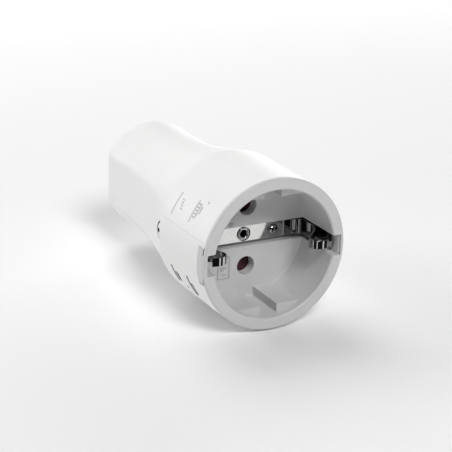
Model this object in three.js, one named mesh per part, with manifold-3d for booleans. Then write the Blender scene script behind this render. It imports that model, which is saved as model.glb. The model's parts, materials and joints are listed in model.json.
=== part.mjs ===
// In-line powerline adapter with an earthed socket face.
// Units are millimetres. Every piece is drawn about the body's own axis: y runs from the
// socket's rim (0) back to the cord inlet (LENGTH), z runs along the line of the pin holes,
// and x runs through the two earth clips. The last line of the model sets the whole
// assembly down with its origin at the middle of its underside.
import * as THREE from 'three';
import { mergeVertices } from 'three/addons/utils/BufferGeometryUtils.js';
import Module from 'manifold-3d';

const wasm = await Module();
wasm.setup();

// ---- Driving dimensions ----
const GAP = 0.3; // clearance between separate pieces

const LENGTH = 87; // rim to back face
const FRONT_RADIUS = 23.2; // housing radius at the rim
const SLEEVE_RADIUS = 23.6; // housing radius where the sleeve ends
const SLEEVE_END = 29.5;
const NECK_Y = 70; // thinnest place of the grip
const NECK_RADIUS = 17.85;
const GRIP_SWELL = 0.4; // growth of the radius from the neck to the back face
const FLARE_POWER = 1.85;
const FLAT_HALF_WIDTH = 8.3; // half width of the flats on the sides of the grip
const FLAT_NOSE_Y = 41; // the flats keep their full width behind here
const FLAT_NOSE_LENGTH = 12;
const BACK_FILLET = 3;
const SHELL_WALL = 1.4;
const BACK_WALL = 3;
const PAD_RADIUS = 3.04; // round release pad where each flat begins
const PAD_TOP = 21.5; // distance of the pad's face from the axis
const PAD_Y = 31.2;
const PAD_SLOT = 1; // width of the tool slot in the pad

const RIM_FLANGE = 1; // thickness of the insert's rim ring
const SEAM = 0.3; // gap between the rim ring and the shell
const RIM_FILLET = 0.6;
const RECESS_RADIUS = 19.75;
const RECESS_DEPTH = 17.5;
const RECESS_LEAD = 0.45; // chamfer inside the rim
const CUP_RADIUS = 21.9; // outside of the insert behind its rim ring
const FLOOR_THICKNESS = 3.5;
const SKIRT_END = 27;
const SKIRT_RADIUS = 20.6; // inside of the insert behind its floor

const PIN_PITCH = 19;
const PIN_HOLE_RADIUS = 2.95;
const GUIDE_FLAT = 16.7; // distance of the guide blocks' flats from the axis
const GUIDE_NOTCH = 5.6;
const GUIDE_FRONT = 3;
const SLOT_WIDTH = 6.4; // clip slots and the strip's channel
const SLOT_BOTTOM = 22.1;
const CHANNEL_DEPTH = 2.8;
const HOOK_LENGTH = 2.8;
const HOOK_HALF_WIDTH = 5.65;
const HOOK_OFFSET = -0.75; // the hooks sit a little below the middle
const HOOK_RADIUS = 22.75;

const STRIP_WIDTH = 5.6;
const STRIP_THICKNESS = 0.6;
const STRIP_PLAIN_END = 13.8; // where the doubled ends of the strip begin
const BACK_LEG_X = 21.1; // inner face of the bridge's upturned legs
const BACK_LEG_TOP = 3.4;
const CLIP_THICKNESS = 0.5;
const SCREW_X = 9.9; // earth screw on the strip

const SHUTTER_THICKNESS = 1.6;
const SHUTTER_RADIUS = 13.6;
const SHUTTER_HALF_ANGLE = 22; // degrees
const CARRIER_END = 39;

const BOARD_X = -3;
const BOARD_START = 47.5;
const BOARD_LENGTH = 26;
const BOARD_HALF_HEIGHT = 12.4;
const BOARD_THICKNESS = 1.2;
const CHASSIS_TOP = -13.1;
const CLAMP_Y = 79.5;
const INLET_RADIUS = 4;

const FINE = 72; // facets round the housing and the recess
const COARSE = 24; // facets round small parts

// ---- Materials ----
const COLOURS = {
  white_plastic: [0xf1f1ef, 0.42, 0],
  insert_plastic: [0xd9d9d7, 0.45, 0],
  shutter_plastic: [0x4a1016, 0.5, 0],
  grey_plastic: [0x8f9194, 0.55, 0],
  nickel: [0xc9c9c6, 0.18, 1],
  brass: [0xc3a158, 0.28, 1],
  steel: [0xb4b6b8, 0.3, 1],
  board_green: [0x1d5a38, 0.5, 0],
  black_epoxy: [0x17181a, 0.5, 0],
  capacitor_yellow: [0xd9b53a, 0.45, 0],
  can_sleeve: [0x23304f, 0.35, 0],
  ferrite: [0x3a3b3d, 0.6, 0],
  varistor_blue: [0x2d5fa8, 0.45, 0],
  fuse_ceramic: [0xe4dfd2, 0.4, 0],
  lead_brown: [0x7a3a22, 0.5, 0],
  lead_blue: [0x24509a, 0.5, 0],
  rubber: [0x2b2c2e, 0.8, 0],
  label_film: [0xc4c5c6, 0.5, 0],
};

const assembly = new THREE.Group();

// ---- Solid helpers ----
function volumeOf(geometry) {
  const position = geometry.getAttribute('position');
  const index = geometry.getIndex();
  const [a, b, c] = [new THREE.Vector3(), new THREE.Vector3(), new THREE.Vector3()];
  let volume = 0;
  for (let i = 0; i < index.count; i += 3) {
    a.fromBufferAttribute(position, index.getX(i));
    b.fromBufferAttribute(position, index.getX(i + 1));
    c.fromBufferAttribute(position, index.getX(i + 2));
    volume += a.dot(b.cross(c)) / 6;
  }
  return volume;
}

// Welds a closed geometry and turns its faces outwards.
function closed(geometry) {
  const bare = geometry.clone();
  bare.deleteAttribute('normal');
  bare.deleteAttribute('uv');
  bare.clearGroups();
  const welded = mergeVertices(bare, 1e-4);
  const index = welded.getIndex();
  const kept = [];
  const flip = volumeOf(welded) < 0;
  for (let i = 0; i < index.count; i += 3) {
    const [a, b, c] = [index.getX(i), index.getX(i + 1), index.getX(i + 2)];
    if (a === b || b === c || a === c) continue;
    kept.push(...(flip ? [a, c, b] : [a, b, c]));
  }
  welded.setIndex(kept);
  return welded;
}

function toSolid(geometry) {
  const welded = closed(geometry);
  return new wasm.Manifold(new wasm.Mesh({
    numProp: 3,
    vertProperties: new Float32Array(welded.getAttribute('position').array),
    triVerts: new Uint32Array(welded.getIndex().array),
  }));
}

function toGeometry(solid) {
  const mesh = solid.getMesh();
  const geometry = new THREE.BufferGeometry();
  geometry.setAttribute('position', new THREE.BufferAttribute(mesh.vertProperties.slice(), 3));
  geometry.setIndex(new THREE.BufferAttribute(mesh.triVerts.slice(), 1));
  return geometry;
}

const union = (...solids) => solids.reduce((sum, solid) => sum.add(solid));
const cut = (base, ...tools) => tools.reduce((rest, tool) => rest.subtract(tool), base);

function addPiece(name, material, shape) {
  const geometry = shape.isBufferGeometry ? closed(shape) : toGeometry(shape);
  geometry.computeVertexNormals();
  const [color, roughness, metalness] = COLOURS[material];
  const look = new THREE.MeshStandardMaterial({ color, roughness, metalness });
  const mesh = new THREE.Mesh(geometry, look);
  mesh.name = name;
  assembly.add(mesh);
  return mesh;
}

// ---- Shape helpers: all return geometries ----
// A box given by its low and high corners.
function box(x0, x1, y0, y1, z0, z1) {
  const geometry = new THREE.BoxGeometry(x1 - x0, y1 - y0, z1 - z0);
  return geometry.translate((x0 + x1) / 2, (y0 + y1) / 2, (z0 + z1) / 2);
}

// A cylinder along y.
function rod(radius, y0, y1, x = 0, z = 0, facets = COARSE) {
  const geometry = new THREE.CylinderGeometry(radius, radius, y1 - y0, facets);
  return geometry.translate(x, (y0 + y1) / 2, z);
}

// A cylinder along z.
function post(radius, z0, z1, x, y, facets = COARSE) {
  const geometry = new THREE.CylinderGeometry(radius, radius, z1 - z0, facets);
  return geometry.rotateX(Math.PI / 2).translate(x, y, (z0 + z1) / 2);
}

// A cylinder along x.
function stud(radius, x0, x1, y, z, facets = COARSE) {
  const geometry = new THREE.CylinderGeometry(radius, radius, x1 - x0, facets);
  return geometry.rotateZ(Math.PI / 2).translate((x0 + x1) / 2, y, z);
}

// A solid of revolution about the body's axis from [radius, y] corners.
function turned(corners, facets = FINE) {
  const points = corners.map(([radius, y]) => new THREE.Vector2(radius, y));
  return new THREE.LatheGeometry(points, facets);
}

// A plate drawn in the x-y plane and given its height along z.
function plateXY(outline, z0, z1) {
  const geometry = new THREE.ExtrudeGeometry(outline, { depth: z1 - z0, bevelEnabled: false });
  return geometry.translate(0, 0, z0);
}

// A plate drawn in the x-z plane and given its thickness along y.
function plateXZ(outline, y0, y1) {
  const geometry = new THREE.ExtrudeGeometry(outline, { depth: y1 - y0, bevelEnabled: false });
  return geometry.rotateX(Math.PI / 2).translate(0, y1, 0);
}

// The outline of a bent strip: a centre line given a thickness.
function bentStrip(route, thickness) {
  const half = thickness / 2;
  const sides = [[], []];
  route.forEach((point, i) => {
    const before = route[Math.max(i - 1, 0)];
    const after = route[Math.min(i + 1, route.length - 1)];
    const along = after.clone().sub(before).normalize();
    const across = new THREE.Vector2(-along.y, along.x).multiplyScalar(half);
    sides[0].push(point.clone().add(across));
    sides[1].unshift(point.clone().sub(across));
  });
  return new THREE.Shape([...sides[0], ...sides[1]]);
}

// A round wire along a list of points.
function wire(points, radius, steps, sides = 8) {
  const path = new THREE.CatmullRomCurve3(points.map((p) => new THREE.Vector3(...p)));
  const section = new THREE.Shape();
  section.absarc(0, 0, radius, 0, Math.PI * 2);
  return new THREE.ExtrudeGeometry(section, {
    steps, extrudePath: path, bevelEnabled: false, curveSegments: sides / 2,
  });
}

// ---- The housing's outer form ----
function bodyRadius(y) {
  if (y <= SLEEVE_END) return FRONT_RADIUS + (SLEEVE_RADIUS - FRONT_RADIUS) * (y / SLEEVE_END);
  const flare = Math.max(1 - (y - SLEEVE_END) / (NECK_Y - SLEEVE_END), 0) ** FLARE_POWER;
  const swell = (Math.max(y - NECK_Y, 0) / (LENGTH - NECK_Y)) ** 2;
  return NECK_RADIUS + (SLEEVE_RADIUS - NECK_RADIUS) * flare + GRIP_SWELL * swell;
}

function flatHalfWidth(y) {
  const ahead = Math.min(Math.max(FLAT_NOSE_Y - y, 0) / FLAT_NOSE_LENGTH, 1);
  return FLAT_HALF_WIDTH * (1 - ahead ** 4) ** 0.25;
}

// One cross-section of the body, shrunk all round by inset, as a ring of points.
function bodySection(y, inset, flatSteps = 3, arcSteps = 24) {
  const radius = bodyRadius(y);
  const flat = Math.sqrt(radius ** 2 - flatHalfWidth(y) ** 2) - inset;
  const round = radius - inset;
  const edge = Math.asin(Math.max(flatHalfWidth(y), 5) / radius);
  const ring = [];
  for (const side of [0, Math.PI]) {
    for (let i = 0; i < flatSteps; i += 1) ring.push(side - edge + (2 * edge * i) / flatSteps);
    for (let i = 0; i < arcSteps; i += 1) {
      ring.push(side + edge + ((Math.PI - 2 * edge) * i) / arcSteps);
    }
  }
  return ring.map((angle) => {
    const x = Math.min(Math.max(round * Math.cos(angle), -flat), flat);
    return new THREE.Vector3(x, y, round * Math.sin(angle));
  });
}

// A closed body through a stack of rings with the same number of points.
function loft(rings) {
  const count = rings[0].length;
  const points = rings.flat();
  const faces = [];
  for (let ring = 0; ring < rings.length - 1; ring += 1) {
    for (let i = 0; i < count; i += 1) {
      const next = (i + 1) % count;
      const [a, b] = [ring * count + i, ring * count + next];
      faces.push(a, b, a + count, b, b + count, a + count);
    }
  }
  for (const [ring, order] of [[0, 1], [rings.length - 1, -1]]) {
    const y = rings[ring][0].y;
    const centre = points.push(new THREE.Vector3(0, y, 0)) - 1;
    for (let i = 0; i < count; i += 1) {
      const pair = [ring * count + i, ring * count + ((i + 1) % count)];
      if (order < 0) pair.reverse();
      faces.push(centre, pair[1], pair[0]);
    }
  }
  const geometry = new THREE.BufferGeometry().setFromPoints(points);
  geometry.setIndex(faces);
  return geometry;
}

// Places along y at which the body's rings are taken, closer where the form turns.
function bodyStations(start, end, noseStep, gripStep) {
  const stations = [];
  let y = start;
  while (y < end - 0.2) {
    stations.push(y);
    if (y < SLEEVE_END - 1) y = Math.min(y + 14, SLEEVE_END - 1);
    else if (y < SLEEVE_END + 2.4) y += noseStep;
    else if (y < FLAT_NOSE_Y) y += 3 * noseStep;
    else y += gripStep;
  }
  stations.push(end);
  return stations;
}

// ---- Housing ----
function housingShell() {
  const front = RIM_FLANGE + SEAM;
  const rings = bodyStations(front, LENGTH - BACK_FILLET, 0.6, 4.4).map((y) => bodySection(y, 0));
  const turns = 5;
  for (let i = 1; i <= turns; i += 1) {
    const angle = (Math.PI / 2) * (i / turns);
    const y = LENGTH - BACK_FILLET + BACK_FILLET * Math.sin(angle);
    rings.push(bodySection(y, BACK_FILLET * (1 - Math.cos(angle))));
  }
  const inside = bodyStations(SLEEVE_END - 3, LENGTH - BACK_WALL, 1.5, 9);
  const cavity = loft(inside.map((y) => bodySection(y, SHELL_WALL)));
  const bore = rod(CUP_RADIUS + GAP, front - 1, SLEEVE_END - 1, 0, 0, FINE);
  const inlet = rod(INLET_RADIUS + 2 + GAP, LENGTH - BACK_WALL - 1, LENGTH + 1);
  // Snap windows at the front edge, and a release pad with a tool slot on each flat.
  const notch = HOOK_HALF_WIDTH + GAP;
  const window = box(-30, 30, front - 1, front + HOOK_LENGTH + GAP,
    HOOK_OFFSET - notch, HOOK_OFFSET + notch);
  const pads = [-1, 1].map((side) => {
    const [low, high] = [side * (PAD_TOP - 1.3), side * PAD_TOP].sort((a, b) => a - b);
    return toSolid(stud(PAD_RADIUS, low, high, PAD_Y, 0, 32));
  });
  const toolSlots = box(-30, 30, PAD_Y + 0.1, PAD_Y + 2.7, -PAD_SLOT / 2, PAD_SLOT / 2);
  const hollow = union(toSolid(cavity), toSolid(bore));
  const shell = cut(union(toSolid(loft(rings)), ...pads), hollow);
  return cut(shell, toSolid(inlet), toSolid(window), toSolid(toolSlots));
}

// ---- Socket insert: rim ring, recess, floor and snap hooks in one moulding ----
function guideBlock(sideX, sideZ) {
  const reach = Math.sqrt(RECESS_RADIUS ** 2 - GUIDE_FLAT ** 2) + 1;
  const x = [GUIDE_NOTCH / 2 * sideX, reach * sideX].sort((a, b) => a - b);
  const z = [GUIDE_FLAT * sideZ, (RECESS_RADIUS + 1) * sideZ].sort((a, b) => a - b);
  return box(x[0], x[1], GUIDE_FRONT, RECESS_DEPTH + 1, z[0], z[1]);
}

function socketInsert() {
  const floorBack = RECESS_DEPTH + FLOOR_THICKNESS;
  const fillet = [0, 1, 2, 3, 4].map((i) => {
    const angle = (Math.PI / 2) * (i / 4);
    return [
      FRONT_RADIUS - RIM_FILLET + RIM_FILLET * Math.sin(angle),
      RIM_FILLET - RIM_FILLET * Math.cos(angle),
    ];
  });
  const cup = toSolid(turned([
    [0, RECESS_DEPTH],
    [RECESS_RADIUS, RECESS_DEPTH],
    [RECESS_RADIUS, RECESS_LEAD],
    [RECESS_RADIUS + RECESS_LEAD, 0],
    ...fillet,
    [FRONT_RADIUS, RIM_FLANGE],
    [CUP_RADIUS, RIM_FLANGE],
    [CUP_RADIUS, SKIRT_END],
    [SKIRT_RADIUS, SKIRT_END],
    [SKIRT_RADIUS, floorBack],
    [0, floorBack],
  ]));
  const tube = toSolid(rod(RECESS_RADIUS + 0.8, 0, floorBack, 0, 0, FINE));
  const guides = [];
  for (const sideX of [-1, 1]) {
    for (const sideZ of [-1, 1]) {
      guides.push(toSolid(guideBlock(sideX, sideZ)).intersect(tube));
    }
  }
  // The hooks fill the shell's windows and stand just below its surface.
  const hookBand = box(-30, 30, RIM_FLANGE - 0.2, RIM_FLANGE + SEAM + HOOK_LENGTH,
    HOOK_OFFSET - HOOK_HALF_WIDTH, HOOK_OFFSET + HOOK_HALF_WIDTH);
  const hookRing = cut(
    toSolid(rod(HOOK_RADIUS, 0.5, 8, 0, 0, FINE)),
    toSolid(rod(CUP_RADIUS - 0.5, 0, 9, 0, 0, FINE)),
  );
  const hooks = hookRing.intersect(toSolid(hookBand));
  const half = SLOT_WIDTH / 2;
  const slot = toSolid(rod(SLOT_BOTTOM, -1, RECESS_DEPTH + CHANNEL_DEPTH, 0, 0, FINE))
    .intersect(toSolid(box(-30, 30, -2, 30, -half, half)));
  const holes = [-1, 1].map((side) => toSolid(rod(
    PIN_HOLE_RADIUS, RECESS_DEPTH - 1, floorBack + 1, 0, side * PIN_PITCH / 2,
  )));
  const fixings = [
    toSolid(rod(1.5 + GAP, RECESS_DEPTH, floorBack + 1)),
    toSolid(rod(1.2 + GAP, RECESS_DEPTH, floorBack + 1, SCREW_X)),
  ];
  return cut(union(cup, ...guides, hooks), slot, ...holes, ...fixings);
}

// ---- Earth contact ----
const STRIP_Y = RECESS_DEPTH + CHANNEL_DEPTH - GAP; // underside of the strip
const STRIP_TOP = STRIP_Y - STRIP_THICKNESS;
const FOOT_END = 16.4; // where the strip's doubled ends stop and the clips begin

// The strip across the channel, doubled near its ends, with a leg up the back of each slot.
function earthBridge() {
  const half = STRIP_WIDTH / 2;
  const outer = BACK_LEG_X + CLIP_THICKNESS;
  const plates = [toSolid(box(-outer, outer, STRIP_TOP, STRIP_Y, -half, half))];
  for (const side of [-1, 1]) {
    const foot = [side * STRIP_PLAIN_END, side * FOOT_END].sort((a, b) => a - b);
    const leg = [side * BACK_LEG_X, side * outer].sort((a, b) => a - b);
    plates.push(toSolid(box(...foot, STRIP_TOP - CLIP_THICKNESS, STRIP_Y, -2.5, 2.5)));
    plates.push(toSolid(box(...leg, BACK_LEG_TOP, STRIP_Y, -2.5, 2.5)));
  }
  const bores = [
    toSolid(rod(1.5 + GAP, STRIP_TOP - 1, STRIP_Y + 1)),
    toSolid(rod(1.2 + GAP, STRIP_TOP - 1, STRIP_Y + 1, SCREW_X)),
  ];
  return cut(union(...plates), ...bores);
}

// A sprung clip: foot beside the strip's doubled end, leg up the wall slot, bulge towards
// the plug, and a narrow nose that turns back into the slot behind the rim.
function earthClip(side) {
  const foot = STRIP_TOP - GAP - CLIP_THICKNESS / 2;
  const route = new THREE.CatmullRomCurve3([
    [FOOT_END + GAP + 0.2, foot], [18.2, foot], [19.3, foot - 0.9], [19.8, 14.5], [19.5, 11],
    [17.8, 8.3], [15.5, 6.4], [14.3, 4.8], [14.5, 3.4], [15.5, 2.4], [17.2, 2], [19.3, 2.3],
  ].map(([x, y]) => new THREE.Vector3(x, y, 0)), false, 'centripetal').getPoints(36);
  const outline = bentStrip(route.map((p) => new THREE.Vector2(p.x * side, p.y)), CLIP_THICKNESS);
  const half = 2.5;
  const nose = 1.35;
  const blank = toSolid(plateXY(outline, -half, half));
  const trims = [-1, 1].map((way) => {
    const shoulder = new THREE.Shape();
    shoulder.moveTo(nose, -1);
    shoulder.lineTo(nose, 5.6);
    shoulder.quadraticCurveTo(nose + 0.1, 7.2, half + 0.2, 7.6);
    shoulder.lineTo(half + 0.2, -1);
    const geometry = new THREE.ExtrudeGeometry(shoulder, { depth: 20, bevelEnabled: false });
    // The outline's own x becomes z, and its depth runs outwards along x.
    geometry.applyMatrix4(new THREE.Matrix4().set(
      0, 0, side, 0,
      0, 1, 0, 0,
      way, 0, 0, 0,
      0, 0, 0, 1,
    ));
    return toSolid(geometry.translate(side * 7, 0, 0));
  });
  return cut(blank, ...trims);
}

function tubularRivet() {
  const head = STRIP_TOP - 0.25;
  return turned([
    [0, 26.5], [1.15, 26.5], [1.15, head - 0.2], [1.35, head - 0.4], [2.1, head - 0.35],
    [2.35, head - 0.15], [2.35, head], [1.5, head], [1.5, 27.5], [0, 27.5],
  ], COARSE);
}

function screw(headRadius, headHeight, shankRadius, length, slotWidth = 0.5) {
  const dome = [0, 1, 2, 3].map((i) => {
    const angle = (Math.PI / 2) * (i / 4);
    return [headRadius * Math.sin(angle), -headHeight * Math.cos(angle)];
  });
  const blank = toSolid(turned([
    ...dome, [headRadius, 0], [shankRadius, 0], [shankRadius, length], [0, length],
  ], 20));
  const depth = headHeight * 0.45;
  const slot = toSolid(box(-headRadius - 1, headRadius + 1, -headHeight - 1,
    -headHeight + depth, -slotWidth / 2, slotWidth / 2));
  return cut(blank, slot);
}

// ---- Child-protection shutter: two solid wings on a hub ----
const SHUTTER_Y = RECESS_DEPTH + FLOOR_THICKNESS + GAP;
function shutter() {
  const outline = new THREE.Shape();
  const spread = THREE.MathUtils.degToRad(SHUTTER_HALF_ANGLE);
  const hub = 3.8;
  for (const centre of [Math.PI / 2, -Math.PI / 2]) {
    outline.absarc(0, 0, SHUTTER_RADIUS, centre - spread, centre + spread, false);
    outline.absarc(0, 0, hub, centre + spread + 0.25, centre + Math.PI - spread - 0.25, false);
  }
  const pivot = new THREE.Path();
  pivot.absarc(0, 0, 1.5 + GAP, 0, Math.PI * 2, true);
  outline.holes.push(pivot);
  return plateXZ(outline, SHUTTER_Y, SHUTTER_Y + SHUTTER_THICKNESS);
}

function returnSpring() {
  const start = SHUTTER_Y + SHUTTER_THICKNESS + 0.6;
  const points = [];
  const turns = 3;
  const steps = 12;
  for (let i = 0; i <= turns * steps; i += 1) {
    const angle = (2 * Math.PI * i) / steps;
    points.push([2.7 * Math.cos(angle), start + (1.8 * i) / (turns * steps), 2.7 * Math.sin(angle)]);
  }
  return wire(points, 0.2, turns * steps, 6);
}

// ---- Contact carrier and live parts ----
const CARRIER_START = SHUTTER_Y + SHUTTER_THICKNESS + GAP;
function contactCarrier() {
  const slab = toSolid(box(-9.5, 9.5, CARRIER_START, CARRIER_END, -25, 25));
  const round = toSolid(rod(18.6, CARRIER_START, CARRIER_END, 0, 0, 48));
  const ring = toSolid(rod(SKIRT_RADIUS - GAP, CARRIER_START, SKIRT_END, 0, 0, 48));
  const block = union(slab.intersect(round), ring);
  const cells = [-1, 1].map((side) => {
    const z = side * PIN_PITCH / 2;
    return toSolid(box(-4.2, 4.2, CARRIER_START - 1, CARRIER_END + 1, z - 3.6, z + 3.6));
  });
  const pivotWell = toSolid(rod(3.4, CARRIER_START - 1, CARRIER_START + 5));
  const screwWell = toSolid(rod(3.2, CARRIER_START - 1, SKIRT_END + 1, SCREW_X + 4.4));
  const screwBore = toSolid(rod(2.6, CARRIER_START - 1, SKIRT_END + 1, SCREW_X));
  return cut(block, ...cells, pivotWell, screwWell, screwBore);
}

// A pin contact: a folded strip whose two leaves pinch the pin.
function pinContact(side) {
  const leaf = [
    [3.3, 25.2], [2.6, 26.6], [2.45, 28.5], [2.75, 31], [2.9, 34], [2.9, 36.2], [2.3, 37.4],
  ];
  const line = [...leaf, ...leaf.slice().reverse().map(([x, y]) => [-x, y])];
  const outline = bentStrip(line.map(([x, y]) => new THREE.Vector2(x, y)), 0.6);
  const z = side * PIN_PITCH / 2;
  const tail = toSolid(box(-0.9, 0.9, 37.3, CARRIER_END + 1.6, z - 2.2, z + 2.2));
  return union(toSolid(plateXY(outline, z - 2.6, z + 2.6)), tail);
}

// A screw terminal behind each pin contact.
function terminal(side) {
  const z = side * PIN_PITCH / 2;
  const y = CARRIER_END + GAP;
  const block = toSolid(box(-3, 3, y, y + 6.4, z - 3.2, z + 3.2));
  const tailSlot = toSolid(box(-0.9 - GAP, 0.9 + GAP, y - 1, y + 1.8, z - 2.5, z + 2.5));
  const leadBore = toSolid(rod(1.3, y + 1.2, y + 8, 0, z));
  const screwBore = toSolid(stud(1.3, 0.5, 5, y + 4.2, z));
  return cut(block, tailSlot, leadBore, screwBore);
}

function terminalScrew(side) {
  const z = side * PIN_PITCH / 2;
  const y = CARRIER_END + GAP + 4.2;
  const blank = union(toSolid(stud(1, 1.6, 4.4, y, z, 16)), toSolid(stud(1.9, 3.3, 5, y, z, 16)));
  return cut(blank, toSolid(box(4.4, 6, y - 0.25, y + 0.25, z - 3, z + 3)));
}

// ---- Powerline module ----
const FACE_X = BOARD_X + BOARD_THICKNESS; // component side
const BACK_X = BOARD_X; // chip side
function moduleParts() {
  const end = BOARD_START + BOARD_LENGTH;
  const board = cut(
    toSolid(box(BACK_X, FACE_X, BOARD_START, end, -BOARD_HALF_HEIGHT, BOARD_HALF_HEIGHT)),
    toSolid(stud(1.1, BACK_X - 1, FACE_X + 1, BOARD_START + 2, -BOARD_HALF_HEIGHT + 2.2)),
    toSolid(stud(1.1, BACK_X - 1, FACE_X + 1, end - 2, BOARD_HALF_HEIGHT - 2.2)),
  );
  addPiece('circuit_board', 'board_green', board);
  const up = FACE_X + GAP;
  const core = cut(
    toSolid(box(up, up + 8.4, 60, 69, -4.4, 4.4)),
    toSolid(box(up + 1.8, up + 9, 61.4, 63, -5, 5)),
    toSolid(box(up + 1.8, up + 9, 66, 67.6, -5, 5)),
  );
  addPiece('coupling_transformer', 'ferrite', core);
  addPiece('film_capacitor', 'capacitor_yellow', box(up, up + 9.5, 49, 54, -8, 5));
  addPiece('smoothing_capacitor', 'can_sleeve', turned([
    [0, 0], [2.9, 0], [3.1, 0.3], [3.1, 1], [2.8, 1.3], [3.1, 1.6], [3.1, 8.7], [2.8, 9], [0, 9],
  ], COARSE).rotateZ(-Math.PI / 2).translate(up, 64.5, -8));
  addPiece('varistor', 'varistor_blue', union(
    toSolid(stud(2.6, up + 3.6, up + 5.6, 57, 0.6)),
    toSolid(box(up, up + 4.2, 56.6, 57.4, -2.2, -1.4)),
    toSolid(box(up, up + 4.2, 56.6, 57.4, 2.6, 3.4)),
  ));
  addPiece('fuse', 'fuse_ceramic', union(
    toSolid(box(up, up + 2.8, 56, 62.5, 6.4, 9.2)),
    toSolid(box(up, up + 3.1, 56, 57.2, 6.2, 9.4)),
    toSolid(box(up, up + 3.1, 61.3, 62.5, 6.2, 9.4)),
  ));
  const down = BACK_X - GAP;
  addPiece('modem_chip', 'black_epoxy', box(down - 1.1, down, 57, 66, -5.2, 3.8));
  addPiece('memory_chip', 'black_epoxy', box(down - 0.9, down, 51, 55.4, -2.4, 2.8));
}

function innerLeads() {
  const y = CARRIER_END + GAP + 3;
  for (const [name, material, side] of [['live_lead', 'lead_brown', 1], ['neutral_lead', 'lead_blue', -1]]) {
    const z = side * PIN_PITCH / 2;
    addPiece(name, material, wire([
      [0, y, z], [0, y + 2.6, z], [0.6, y + 4.6, z - side * 0.2],
      [3.4, y + 6.2, z - side * 0.4], [3.8, y + 9.6, z], [1.2, y + 11.6, z],
      [FACE_X + GAP, y + 11.8, z],
    ], 0.85, 14));
  }
}

// ---- Chassis, cord clamp and inlet ----
function innerChassis() {
  const end = LENGTH - BACK_WALL - 1 - 2 * GAP;
  const tray = toSolid(box(-6.5, 6.5, CARRIER_END + GAP, end, CHASSIS_TOP - 1.5, CHASSIS_TOP));
  const inside = toSolid(rod(NECK_RADIUS - SHELL_WALL - 0.6, 30, 90, 0, 0, 48));
  const cradle = toSolid(box(-9, 9, CLAMP_Y - 3.4, end, -16, -1.2)).intersect(inside);
  const groove = toSolid(rod(INLET_RADIUS, CLAMP_Y - 5, 90));
  const bores = [-1, 1].map((side) => toSolid(post(0.8 + GAP, -9, 2, side * 6.8, CLAMP_Y)));
  return cut(union(tray, cradle), groove, ...bores);
}

function clampBar() {
  const bar = toSolid(box(-9, 9, CLAMP_Y - 2.6, CLAMP_Y + 2.6, -1.2 + GAP, 6));
  const groove = toSolid(rod(INLET_RADIUS - 0.4, CLAMP_Y - 5, CLAMP_Y + 5));
  const bores = [-1, 1].map((side) => toSolid(post(0.8 + GAP, -3, 9, side * 6.8, CLAMP_Y)));
  return cut(bar, groove, ...bores);
}

function clampScrew(side) {
  const geometry = toGeometry(screw(1.9, 1.4, 0.8, 12));
  return geometry.rotateX(-Math.PI / 2).translate(side * 6.8, CLAMP_Y, 6 + GAP);
}

function inletBush() {
  const inner = LENGTH - BACK_WALL - GAP - 1;
  return turned([
    [INLET_RADIUS, inner], [INLET_RADIUS, LENGTH - 0.5], [INLET_RADIUS + 0.5, LENGTH],
    [INLET_RADIUS + 2, LENGTH], [INLET_RADIUS + 2, inner + 1],
    [INLET_RADIUS + 4, inner + 1], [INLET_RADIUS + 4, inner], [INLET_RADIUS, inner],
  ], 32);
}

// ---- Assembly ----
addPiece('housing_shell', 'white_plastic', housingShell());
addPiece('socket_insert', 'insert_plastic', socketInsert());
addPiece('shutter', 'shutter_plastic', shutter());
addPiece('shutter_spring', 'steel', returnSpring());
addPiece('earth_bridge', 'nickel', earthBridge());
addPiece('earth_clip_left', 'nickel', earthClip(-1));
addPiece('earth_clip_right', 'nickel', earthClip(1));
addPiece('centre_rivet', 'nickel', tubularRivet());
addPiece('earth_screw', 'nickel', toGeometry(screw(1.7, 1.2, 1.2, 7.9))
  .translate(SCREW_X, STRIP_TOP - GAP, 0));
addPiece('earth_terminal', 'brass', cut(
  toSolid(box(SCREW_X - 2.1, SCREW_X + 6.4, SHUTTER_Y + 0.4, SHUTTER_Y + 1.4, -2, 2)),
  toSolid(rod(1.2 + GAP, SHUTTER_Y - 1, SHUTTER_Y + 3, SCREW_X)),
));
addPiece('floor_label', 'label_film', box(-9.5, -5.6, RECESS_DEPTH - 0.55, RECESS_DEPTH - GAP, -12.6, -5.6));
addPiece('contact_carrier', 'grey_plastic', contactCarrier());
for (const [name, side] of [['live', 1], ['neutral', -1]]) {
  addPiece(`${name}_contact`, 'brass', pinContact(side));
  addPiece(`${name}_terminal`, 'brass', terminal(side));
  addPiece(`${name}_terminal_screw`, 'steel', terminalScrew(side));
}
moduleParts();
innerLeads();
addPiece('inner_chassis', 'grey_plastic', innerChassis());
addPiece('cord_clamp_bar', 'grey_plastic', clampBar());
addPiece('clamp_screw_left', 'steel', clampScrew(-1));
addPiece('clamp_screw_right', 'steel', clampScrew(1));
addPiece('inlet_bush', 'rubber', inletBush());

assembly.position.set(0, -LENGTH / 2, SLEEVE_RADIUS);
const group = new THREE.Group();
group.add(assembly);

export default group;
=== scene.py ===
"""In-line powerline adapter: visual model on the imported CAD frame.

Lengths are millimetres about the body's own axis: y runs back from the socket's rim,
z along the pin holes and x through the earth clips. place() turns such a point into
the frame's metres.
"""
import json
import math

import bmesh
import bpy
from mathutils import Matrix, Vector


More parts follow.
